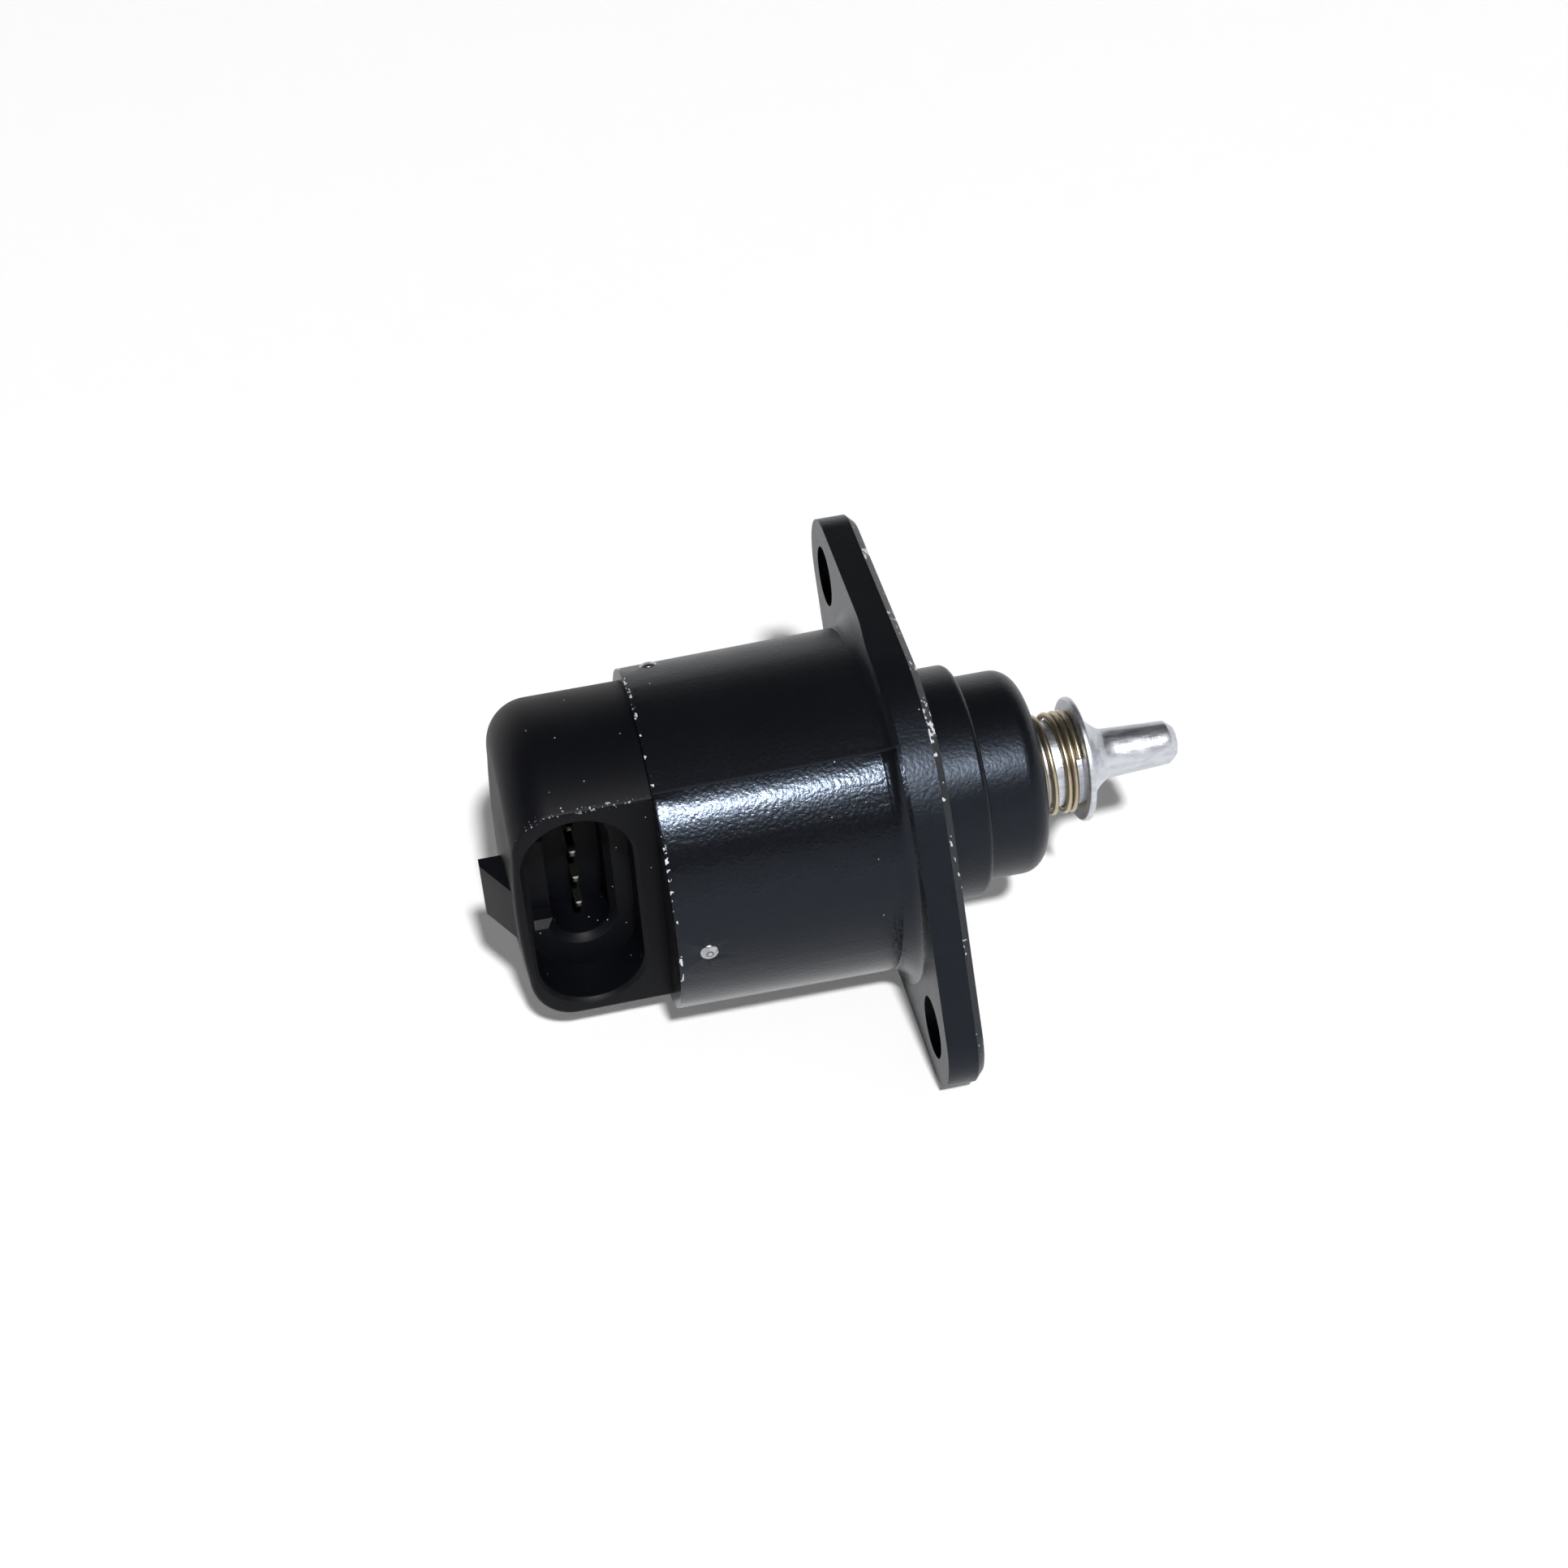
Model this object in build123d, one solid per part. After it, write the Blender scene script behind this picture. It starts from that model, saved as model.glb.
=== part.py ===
from build123d import *
import os
from math import asin, cos, radians, sin, sqrt, tan

# Idle air control valve: a two-phase stepper in a die-cast can drives a pintle in and out.
# X is the motor axis and points to the pintle, +Z is up, the socket opens towards -Y.
# X = 0 is the flange's mounting face. The part lies on one straight side of the flange.

# Clearances
static_gap = 0.03          # between pieces that are assembled and stay put
running_gap = 0.05         # radial, between pieces that turn or slide
end_gap = 0.3              # between the end faces of pieces that pass each other

# Flange
flange_thickness = 3.3
bolt_spacing = 42.5
bolt_hole_r = 2.75
ear_r = 5.2
side_angle = 30.0          # slope of the straight sides to the line through the bolt holes
flange_chamfer = 0.7

# Can
can_rear_r = 14.95
can_draft = 0.8            # degrees, wider towards the flange
can_wall = 2.05            # at the rear rim
can_root_fillet = 1.6
front_wall = 2.4           # mounting face back to the floor of the motor bore
spigot_length = 4.8        # how far the cap reaches into the can

# Nose
nose_base_r = 10.35
nose_base_length = 4.5
nose_tip_r = 9.1
nose_length = 10.2
nose_base_round = 0.6
nose_tip_round = 2.0
spring_pocket_r = 5.0

# Stepper stator, one of two alike
stator_length = 8.4
sheet = 0.9
pole_r = 7.35
tooth_thickness = 0.75
teeth = 6
tooth_angle = 21.0
tooth_end_gap = 0.5
bobbin_wall = 0.5
coil_margin = 0.4

# Rotor
air_gap = 0.35
magnet_wall = 2.4
magnet_inset = 0.9         # ends of the stators to the magnet
rear_journal_r = 3.6
rear_journal_length = 2.6
rotor_bore_r = 2.8
nut_length = 11.0

# Front ball bearing
bearing_bore_r = 4.0
bearing_outer_r = 8.0
bearing_width = 5.0
race_wall = 1.2
ball_r = 1.15
balls = 8
cage_half_thickness = 0.35
cage_width = 3.4

# Rear bush and preload washer
bush_wall = 1.5
washer_sheet = 0.25

# Lead screw and its guide
screw_r = 2.5
screw_flat = 2.0           # axis to each of the two flats
screw_rear_reach = 15.4    # mounting face back to the screw's free end
screw_press_depth = 5.0
guide_step = 1.8           # bearing seat in to the guide's seat
guide_length = 2.7

# Pintle
hub_r = 3.9
hub_rear_gap = 1.6         # room behind the hub for it to draw back
collar_gap = 4.25          # nose front to the collar
collar_r = 5.6
collar_thickness = 0.65
collar_round = 0.15
flare_r = 4.9
flare_length = 2.2
pin_root_r = 2.25
pin_tip_r = 1.95
pin_length = 6.6
tip_chamfer = 0.75
tip_chamfer_depth = 0.6    # radial
flare_hollow_along = 0.42  # share of the flare's length and height at the middle of its curve
flare_hollow_height = 0.38

# Spring
spring_wire_r = 0.27
spring_turns = 6.5

# Connector cap
cap_r = 13.95
cap_end_fillet = 3.8
cap_dome = 0.7
cap_rear_wall = 0.85
face_offset = 7.85         # axis to the flat face round the socket
face_edge_round = 0.45
mouth_inset = 2.0          # can rim to the socket
mouth_width = 9.25
mouth_rim = 1.25           # wall at the ends of the socket
mouth_lead_in = 0.35
ledge_depth = 4.4
pocket_width = 5.0
pocket_length = 14.0
pocket_depth = 4.5         # below the ledge
keyway_width = 1.7         # beyond the pocket's side
keyway_length = 9.0
keyway_depth = 2.0
ledge_chamfer = 0.6
lug_width = 5.6
lug_rise = 1.85
lug_back = 1.7             # axis to the lug's catching face
lug_crest = 0.9
lead_recess = 1.2

# Seal ring in the cap's spigot
seal_section_r = 0.5
seal_inset = 0.75          # can rim to the middle of the ring

# Retaining pins
pin_hole_r = 0.8
pin_inset = 2.6            # can rim to the pins
pin_depth = 3.4            # into the cap's spigot
pin_proud = 0.28           # height of the domed heads
pin_angles = (180, 60, -60)

# Terminals
terminal_count = 4
terminal_size = 0.64
terminal_pitch = 3.0
terminal_reach = 2.7       # out of the pocket floor
terminal_leg_offset = 8.2  # axis to the legs that run forward to the coils

# Sizes and places that follow from those above
motor_length = 2 * stator_length
can_length = front_wall + motor_length + spigot_length
bore_r = can_rear_r - can_wall
can_front_r = can_rear_r + (can_length - flange_thickness) * tan(radians(can_draft))
flange_round_r = ear_r + bolt_spacing / 2 * sin(radians(side_angle))
seat_x = bearing_width - front_wall
guide_r = bearing_outer_r - guide_step
guide_x = seat_x + end_gap
guide_front_x = guide_x + guide_length
cup_r = bore_r - static_gap
magnet_r = pole_r - air_gap
rotor_core_r = magnet_r - magnet_wall
spigot_x = -front_wall - motor_length
magnet_front_x = -front_wall - magnet_inset
magnet_rear_x = spigot_x + magnet_inset
bearing_mid_x = seat_x - bearing_width / 2
ball_pitch_r = (bearing_bore_r + bearing_outer_r) / 2
bush_r = rear_journal_r + running_gap + bush_wall
hub_rear_x = guide_front_x + hub_rear_gap
collar_x = nose_length + collar_gap
flare_x = collar_x + collar_thickness
pin_root_x = flare_x + flare_length
tip_x = pin_root_x + pin_length
mouth_x = -(can_length + mouth_inset + mouth_width / 2)
cap_end_x = mouth_x - mouth_width / 2 - cap_rear_wall
mouth_length = 2 * (sqrt(cap_r**2 - face_offset**2) - mouth_rim)
ledge_y = -face_offset + ledge_depth
pocket_floor_y = ledge_y + pocket_depth


def turned(*profile):
    """Solid turned about X from a closed outline of (x, r) points."""
    return revolve(make_face(Polyline(*profile, close=True)), Axis.X)


def ring(x_from, x_to, r_in, r_out):
    """Plain ring about X."""
    return turned((x_from, r_in), (x_from, r_out), (x_to, r_out), (x_to, r_in))


def rod(x_from, x_to, r):
    """Plain round bar about X."""
    return turned((x_from, 0), (x_from, r), (x_to, r), (x_to, 0))


def radial_pin(x, r_from, r_to, r, angle):
    """Round bar that points outwards from X, at an angle from +Y towards +Z."""
    length = r_to - r_from
    bar = Pos(x, r_from + length / 2, 0) * Rot(X=-90) * Cylinder(r, length)
    return Rot(X=angle) * bar


def dome_middle(edge_r, rise):
    """Point half way up a shallow dome: its depth below the apex, and its radius."""
    dome_r = (edge_r**2 + rise**2) / (2 * rise)
    half_arc = asin(edge_r / dome_r) / 2
    return dome_r * (1 - cos(half_arc)), dome_r * sin(half_arc)


def flange_point(along, across):
    """Point of the flange outline: along the line of the bolt holes, and square to it."""
    c, s = cos(radians(side_angle)), sin(radians(side_angle))
    return (0, along * c - across * s, along * s + across * c)


def flange_face():
    """Outline of the flange: two ears joined to a round middle by straight tangent sides."""
    s, c = sin(radians(side_angle)), cos(radians(side_angle))
    reach = bolt_spacing / 2
    edges = []
    for side in (1, -1):
        inner = flange_point(side * flange_round_r * s, flange_round_r * c)
        outer = flange_point(side * (reach + ear_r * s), ear_r * c)
        end = flange_point(side * (reach + ear_r), 0)
        outer_low = flange_point(side * (reach + ear_r * s), -ear_r * c)
        inner_low = flange_point(side * flange_round_r * s, -flange_round_r * c)
        edges += [Line(inner, outer), ThreePointArc(outer, end, outer_low), Line(outer_low, inner_low)]
    for side in (1, -1):
        start = flange_point(flange_round_r * s, side * flange_round_r * c)
        middle = flange_point(0, side * flange_round_r)
        stop = flange_point(-flange_round_r * s, side * flange_round_r * c)
        edges.append(ThreePointArc(start, middle, stop))
    return make_face(edges)


def rounded_step(x_from, x_to, r, edge_round):
    """Round boss about X whose front edge is rounded."""
    boss = rod(x_from, x_to, r)
    front = boss.faces().sort_by(Axis.X)[-1]
    return fillet(front.edges(), edge_round)


def pin_holes():
    """Bores for the retaining pins, through the can and into the cap's spigot."""
    x = -can_length + pin_inset
    holes = [
        radial_pin(x, bore_r - pin_depth, 2 * can_rear_r, pin_hole_r + static_gap, angle)
        for angle in pin_angles
    ]
    return Part() + holes


def make_housing():
    """Die-cast can, flange and nose, with the motor bore and the nose's stepped bore."""
    outline = flange_face()
    plate = extrude(outline, flange_thickness, dir=(-1, 0, 0))
    plate = chamfer(plate.faces().sort_by(Axis.X)[-1].edges(), flange_chamfer)
    can = turned(
        (-can_length, 0),
        (-can_length, can_rear_r),
        (-flange_thickness, can_front_r),
        (-flange_thickness, 0),
    )
    root_x = -flange_thickness - can_root_fillet
    root_r = can_front_r + can_root_fillet
    root = ring(root_x, -flange_thickness, bore_r, root_r)
    hollow = Rot(Y=90) * Torus(root_r, can_root_fillet)
    root = root - Pos(X=root_x) * hollow
    root = root & extrude(outline, flange_thickness + can_root_fillet, dir=(-1, 0, 0))
    body = can + plate + root
    body += rounded_step(-flange_thickness, nose_base_length, nose_base_r, nose_base_round)
    body += rounded_step(-flange_thickness, nose_length, nose_tip_r, nose_tip_round)
    body -= rod(-can_length, -front_wall, bore_r)
    body -= rod(-front_wall, seat_x, bearing_outer_r + static_gap)
    body -= rod(seat_x, guide_front_x, guide_r + static_gap)
    body -= rod(guide_front_x, nose_length, spring_pocket_r)
    for side in (1, -1):
        hole = Pos(flange_point(side * bolt_spacing / 2, 0)) * Rot(Y=90)
        body -= hole * Cylinder(bolt_hole_r, 3 * flange_thickness)
    return body - pin_holes()


def slot_face(width, length):
    """Round-ended slot in the socket's face plane, long way along Z."""
    face_plane = Plane(origin=(mouth_x, 0, 0), x_dir=(0, 0, 1), z_dir=(0, 1, 0))
    return face_plane * SlotOverall(length, width)


def stepped_slot(width, length, y_from, y_to, lead_in):
    """Round-ended slot from one depth to another, its rim opened out by a chamfer."""
    straight = extrude(Pos(Y=y_from) * slot_face(width, length), y_to - y_from, dir=(0, 1, 0))
    wide = Pos(Y=y_from) * slot_face(width + 2 * lead_in, length + 2 * lead_in)
    narrow = Pos(Y=y_from + lead_in) * slot_face(width, length)
    return straight + loft([wide, narrow])


def make_socket():
    """Space inside the socket: mouth, narrower pin pocket, and a keyway beside the pocket."""
    mouth = stepped_slot(mouth_width, mouth_length, -face_offset, ledge_y, mouth_lead_in)
    above_face = extrude(
        Pos(Y=-face_offset) * slot_face(mouth_width + 2 * mouth_lead_in, mouth_length + 2 * mouth_lead_in),
        cap_r,
        dir=(0, -1, 0),
    )
    pocket = stepped_slot(pocket_width, pocket_length, ledge_y, pocket_floor_y, ledge_chamfer)
    key_span = pocket_width / 2 + keyway_width
    key_plane = Plane(origin=(mouth_x - key_span / 2, ledge_y, 0), x_dir=(0, 0, 1), z_dir=(0, 1, 0))
    key_face = key_plane * Rectangle(keyway_length, key_span)
    key_rim = key_plane * Rectangle(keyway_length + 2 * ledge_chamfer, key_span)
    keyway = extrude(key_face, keyway_depth, dir=(0, 1, 0))
    keyway += loft([key_rim, Pos(Y=ledge_chamfer) * key_face])
    return mouth + above_face + pocket + keyway


def terminal(index):
    """Square contact pin that turns forward inside the cap towards the coils."""
    z = (index - (terminal_count - 1) / 2) * terminal_pitch
    tip_y = pocket_floor_y - terminal_reach
    half = terminal_size / 2
    front_x = spigot_x - end_gap
    stem = Pos(mouth_x, (tip_y + terminal_leg_offset) / 2, z) * Box(
        terminal_size, terminal_leg_offset - tip_y + terminal_size, terminal_size
    )
    stem = chamfer(stem.faces().sort_by(Axis.Y)[0].edges(), terminal_size / 4)
    leg = Pos((mouth_x - half + front_x) / 2, terminal_leg_offset, z) * Box(
        front_x - mouth_x + half, terminal_size, terminal_size
    )
    return stem + leg


def make_cap(terminals):
    """Moulded rear cap: domed end, flat socket face, latch lug and spigot into the can."""
    shoulder_r = cap_r - cap_end_fillet
    corner = (cap_end_x + cap_end_fillet, cap_r)
    bend = cap_end_fillet * sin(radians(45))
    corner_middle = (cap_end_x + cap_end_fillet - bend, shoulder_r + bend)
    dome_edge = (cap_end_x, shoulder_r)
    apex = (cap_end_x - cap_dome, 0)
    below_apex, middle_r = dome_middle(shoulder_r, cap_dome)
    outline = [
        Line((-can_length, 0), (-can_length, cap_r)),
        Line((-can_length, cap_r), corner),
        ThreePointArc(corner, corner_middle, dome_edge),
        ThreePointArc(dome_edge, (apex[0] + below_apex, middle_r), apex),
        Line(apex, (-can_length, 0)),
    ]
    body = revolve(make_face(outline), Axis.X)
    body -= Pos(mouth_x, -face_offset - cap_r, 0) * Box(6 * cap_r, 2 * cap_r, 4 * cap_r)
    face = body.faces().sort_by(Axis.Y)[0]
    rim = [e for e in face.edges() if e.center().X < -can_length - static_gap]
    body = fillet(rim, face_edge_round)

    crest_x = cap_end_x - cap_dome - lug_rise
    root_x = cap_end_x + cap_rear_wall / 4
    lug = make_face(
        Polyline(
            (root_x, -face_offset + face_edge_round),
            (crest_x, -lug_back - lug_crest),
            (crest_x, -lug_back),
            (root_x, -lug_back),
            close=True,
        )
    )
    body += extrude(lug, lug_width / 2, dir=(0, 0, 1), both=True)

    body += rod(-can_length, spigot_x, bore_r - static_gap)
    seal_x = -can_length + seal_inset
    groove_half = seal_section_r + 2 * static_gap
    groove_r = bore_r - 2 * seal_section_r - static_gap
    body -= ring(seal_x - groove_half, seal_x + groove_half, groove_r, bore_r)
    body -= rod(spigot_x, spigot_x - rear_journal_length - end_gap, bush_r + static_gap)
    leads = (bush_r + cap_rear_wall, bore_r - can_wall)
    body -= ring(spigot_x - lead_recess, spigot_x, *leads)
    body -= pin_holes()
    body -= make_socket()
    for pin in terminals:
        body -= pin
    return body


def make_seal():
    """Round seal ring in the spigot's groove, squeezed against the can's bore."""
    ring_r = bore_r - seal_section_r - static_gap / 2
    return Pos(X=-can_length + seal_inset) * Rot(Y=90) * Torus(ring_r, seal_section_r - static_gap / 2)


def make_retaining_pins():
    """Steel pins driven through the can's rim into the cap."""
    x = -can_length + pin_inset
    root = (0, bore_r - pin_depth)
    edge = (pin_hole_r, can_rear_r + pin_inset * tan(radians(can_draft)))
    crown = (0, edge[1] + pin_proud)
    below_crown, middle_r = dome_middle(pin_hole_r, pin_proud)
    outline = [
        Polyline(crown, root, (pin_hole_r, root[1]), edge),
        ThreePointArc(edge, (middle_r, crown[1] - below_crown), crown),
    ]
    blank = Pos(X=x) * revolve(make_face(outline), Axis.Y)
    return Compound(children=[Rot(X=angle) * blank for angle in pin_angles])


def teeth_ring(x_from, x_to, first_angle):
    """Claw teeth of one stator plate, spaced evenly round the rotor."""
    outer_r = pole_r + tooth_thickness
    section = make_face(
        Polyline((x_from, pole_r), (x_from, outer_r), (x_to, outer_r), (x_to, pole_r), close=True)
    )
    tooth = revolve(section, Axis.X, tooth_angle)
    start = first_angle - tooth_angle / 2
    return [Rot(X=start + k * 360 / teeth) * tooth for k in range(teeth)]


def make_stator(outer_x, facing):
    """Cup, pole plate, bobbin and coil of one phase, from its outer end towards the middle."""
    def at(depth):
        return outer_x + facing * depth

    far = stator_length - sheet
    inner_wall_r = cup_r - sheet
    bobbin_r = pole_r + tooth_thickness + running_gap
    coil_r = bobbin_r + bobbin_wall
    flange_r = inner_wall_r - running_gap
    cup = ring(at(0), at(sheet), pole_r, cup_r) + ring(at(0), at(stator_length), inner_wall_r, cup_r)
    cup += teeth_ring(at(0), at(far - tooth_end_gap), 0)
    plate = ring(at(far), at(stator_length), pole_r, inner_wall_r - static_gap)
    plate += teeth_ring(at(sheet + tooth_end_gap), at(stator_length), 180 / teeth)
    spool_from = sheet + static_gap
    spool_to = far - static_gap
    bobbin = turned(
        (at(spool_from), bobbin_r),
        (at(spool_from), flange_r),
        (at(spool_from + bobbin_wall), flange_r),
        (at(spool_from + bobbin_wall), coil_r),
        (at(spool_to - bobbin_wall), coil_r),
        (at(spool_to - bobbin_wall), flange_r),
        (at(spool_to), flange_r),
        (at(spool_to), bobbin_r),
    )
    coil_from = at(spool_from + bobbin_wall + static_gap)
    coil_to = at(spool_to - bobbin_wall - static_gap)
    coil = ring(coil_from, coil_to, coil_r + static_gap, flange_r - coil_margin)
    return cup, plate, bobbin, coil


def make_rotor_hub():
    """Moulded rotor core: bearing neck, nut thread bore, clear bore and rear journal."""
    neck_x = seat_x - bearing_width
    journal_x = spigot_x - rear_journal_length
    hub = turned(
        (journal_x, 0),
        (journal_x, rear_journal_r),
        (magnet_rear_x, rear_journal_r),
        (magnet_rear_x, rotor_core_r),
        (magnet_front_x, rotor_core_r),
        (neck_x, (rotor_core_r + bearing_bore_r) / 2),
        (neck_x, bearing_bore_r - static_gap),
        (seat_x, bearing_bore_r - static_gap),
        (seat_x, 0),
    )
    nut_rear_x = seat_x - nut_length
    hub -= rod(nut_rear_x, seat_x, screw_r + running_gap)
    return hub - rod(journal_x, nut_rear_x, rotor_bore_r)


def make_bearing():
    """Outer race, inner race, cage and balls of the front bearing."""
    rear_x = seat_x - bearing_width
    groove = Pos(X=bearing_mid_x) * Rot(Y=90) * Torus(ball_pitch_r, ball_r + running_gap)
    outer = ring(rear_x, seat_x, bearing_outer_r - race_wall, bearing_outer_r) - groove
    inner = ring(rear_x, seat_x, bearing_bore_r, bearing_bore_r + race_wall) - groove
    cage = ring(
        bearing_mid_x - cage_width / 2,
        bearing_mid_x + cage_width / 2,
        ball_pitch_r - cage_half_thickness,
        ball_pitch_r + cage_half_thickness,
    )
    places = [Rot(X=k * 360 / balls) * Pos(bearing_mid_x, ball_pitch_r, 0) for k in range(balls)]
    for place in places:
        cage -= place * Sphere(ball_r + running_gap)
    ball_set = Compound(children=[place * Sphere(ball_r) for place in places])
    return outer, inner, cage, ball_set


def make_preload_washer():
    """Coned spring washer between the rear bush and the magnet, loading the bearing."""
    rear_x = spigot_x + static_gap
    front_x = magnet_rear_x - static_gap
    inner_r = rear_journal_r + 2 * running_gap
    return turned(
        (rear_x, bush_r),
        (rear_x + washer_sheet, bush_r),
        (front_x, inner_r),
        (front_x - washer_sheet, inner_r),
    )


def flatted_bar(x_from, x_to, r, flat):
    """Round bar with two flats, one above and one below."""
    middle = (x_from + x_to) / 2
    return rod(x_from, x_to, r) & Pos(X=middle) * Box(x_to - x_from, 4 * r, 2 * flat)


def make_pintle():
    """Turned hub, collar, hollow flare and tapered pin, bored for the lead screw."""
    hollow_x = flare_x + flare_hollow_along * flare_length
    hollow_r = pin_root_r + flare_hollow_height * (flare_r - pin_root_r)
    outline = [
        Polyline(
            (pin_root_x, pin_root_r),
            (tip_x - tip_chamfer, pin_tip_r),
            (tip_x, pin_tip_r - tip_chamfer_depth),
            (tip_x, 0),
            (hub_rear_x, 0),
            (hub_rear_x, hub_r),
            (collar_x, hub_r),
            (collar_x, collar_r - collar_round),
            (collar_x + collar_round, collar_r),
            (flare_x - collar_round, collar_r),
            (flare_x, collar_r - collar_round),
            (flare_x, flare_r),
        ),
        ThreePointArc((flare_x, flare_r), (hollow_x, hollow_r), (pin_root_x, pin_root_r)),
    ]
    body = revolve(make_face(outline), Axis.X)
    return body - rod(hub_rear_x, hub_rear_x + screw_press_depth, screw_r + static_gap)


def make_spring():
    """Coil spring round the pintle hub, from the screw guide to the collar."""
    mean_r = hub_r + spring_wire_r + 3 * running_gap
    start_x = guide_front_x + spring_wire_r + static_gap
    length = collar_x - spring_wire_r - static_gap - start_x
    path = Helix(length / spring_turns, length, mean_r, center=(start_x, 0, 0), direction=(1, 0, 0))
    section = Plane(origin=path @ 0, z_dir=path % 0) * Circle(spring_wire_r)
    return sweep(section, path=path, is_frenet=True)


terminals = [terminal(k) for k in range(terminal_count)]
cup_rear, plate_rear, bobbin_rear, coil_rear = make_stator(spigot_x, 1)
cup_front, plate_front, bobbin_front, coil_front = make_stator(-front_wall, -1)
outer_race, inner_race, cage, ball_set = make_bearing()
bush_rear_x = spigot_x - rear_journal_length
guide_hole = flatted_bar(guide_x, guide_front_x, screw_r + running_gap, screw_flat + running_gap)
screw_front_x = hub_rear_x + screw_press_depth - static_gap

nodes = {
    "housing": make_housing(),
    "connector_cap": make_cap(terminals),
    "cap_seal": make_seal(),
    "retaining_pins": make_retaining_pins(),
    "stator_cup_rear": cup_rear,
    "pole_plate_rear": plate_rear,
    "bobbin_rear": bobbin_rear,
    "coil_rear": coil_rear,
    "stator_cup_front": cup_front,
    "pole_plate_front": plate_front,
    "bobbin_front": bobbin_front,
    "coil_front": coil_front,
    "rotor_hub": make_rotor_hub(),
    "rotor_magnet": ring(magnet_rear_x, magnet_front_x, rotor_core_r + static_gap, magnet_r),
    "bearing_outer_race": outer_race,
    "bearing_inner_race": inner_race,
    "bearing_cage": cage,
    "bearing_balls": ball_set,
    "rear_bush": ring(bush_rear_x, spigot_x, rear_journal_r + running_gap, bush_r),
    "preload_washer": make_preload_washer(),
    "screw_guide": rod(guide_x, guide_front_x, guide_r) - guide_hole,
    "lead_screw": flatted_bar(-screw_rear_reach, screw_front_x, screw_r, screw_flat),
    "spring": make_spring(),
    "pintle": make_pintle(),
}
for k, pin in enumerate(terminals):
    nodes[f"terminal_{k + 1}"] = pin

os.makedirs("parts", exist_ok=True)
for name, shape in nodes.items():
    export_step(shape, f"parts/{name}.step")
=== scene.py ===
import bpy
import math
from mathutils import Matrix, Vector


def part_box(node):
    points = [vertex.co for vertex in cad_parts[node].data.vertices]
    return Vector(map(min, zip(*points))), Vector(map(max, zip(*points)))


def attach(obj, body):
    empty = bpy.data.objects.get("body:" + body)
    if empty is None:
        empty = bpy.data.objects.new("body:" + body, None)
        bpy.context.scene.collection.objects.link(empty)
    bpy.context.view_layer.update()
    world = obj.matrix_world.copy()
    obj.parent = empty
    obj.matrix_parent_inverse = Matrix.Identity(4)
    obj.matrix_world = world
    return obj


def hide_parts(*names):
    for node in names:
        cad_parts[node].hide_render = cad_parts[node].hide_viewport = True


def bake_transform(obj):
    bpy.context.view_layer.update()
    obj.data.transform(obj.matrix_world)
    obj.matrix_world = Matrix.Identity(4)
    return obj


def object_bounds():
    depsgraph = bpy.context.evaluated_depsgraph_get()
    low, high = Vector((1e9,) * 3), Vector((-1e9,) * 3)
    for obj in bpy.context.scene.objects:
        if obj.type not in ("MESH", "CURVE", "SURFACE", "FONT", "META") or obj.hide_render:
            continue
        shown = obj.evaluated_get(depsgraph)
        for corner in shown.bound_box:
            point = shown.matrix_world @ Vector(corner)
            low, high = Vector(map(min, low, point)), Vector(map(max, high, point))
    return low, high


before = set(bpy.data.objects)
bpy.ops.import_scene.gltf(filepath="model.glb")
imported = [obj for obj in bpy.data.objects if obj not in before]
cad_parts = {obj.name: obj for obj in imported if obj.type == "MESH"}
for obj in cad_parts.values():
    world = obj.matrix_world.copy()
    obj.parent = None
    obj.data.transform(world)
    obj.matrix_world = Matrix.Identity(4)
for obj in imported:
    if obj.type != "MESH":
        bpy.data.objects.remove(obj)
cad_low, cad_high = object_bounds()


# Housing
# One black die casting of can, bolting flange and nose, with a satin coat over the metal.
# The coat sparkles finely and is chipped at its edges. A small step runs along the can where the
# halves of the die met: below it the skin is smoother, and above it the wall leans back a little.
mm = 0.001
coat_black = (0.0036, 0.0037, 0.0046, 1)
coat_sheen = (0.66, 0.79, 1.0, 1)
coat_gloss = 0.31
coat_roughness = 0.36
lower_half_polish = 0.14
bare_metal = (0.55, 0.56, 0.58, 1)
dust_grey = (0.55, 0.56, 0.58, 1)
coat_relief = 0.024 * mm
sparkle_size = 0.32 * mm
coat_cloud_size = 4.0 * mm
coat_dust_spacing = 1.1 * mm
flake_size = 0.5 * mm
chipped_patch_size = 3.2 * mm
coat_edge_break = 0.22 * mm
weld_reach = 0.0005 * mm
flat_angle = math.radians(0.2)
sharp_angle = math.radians(35)
crease_angle = math.radians(38)
can_wall_r = 14.7 * mm
flange_back_x = -3.3 * mm
chamfer_depth = 0.8 * mm
chamfer_lean = (0.3, 0.95)
rim_wear = 0.28 * mm
rear_face_lean = -0.8
parting_angle = math.radians(123.4)
parting_step = 0.12 * mm
parting_width = 0.06 * mm
parting_fade = 4.0 * mm
step_start = 0.4 * parting_width
seam_reach = 0.12 * mm
draft_slope = 0.16
draft_fade = 7.0 * mm
parting_line = (0, math.cos(parting_angle), math.sin(parting_angle))
below_parting = (0, -math.sin(parting_angle), math.cos(parting_angle))


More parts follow.
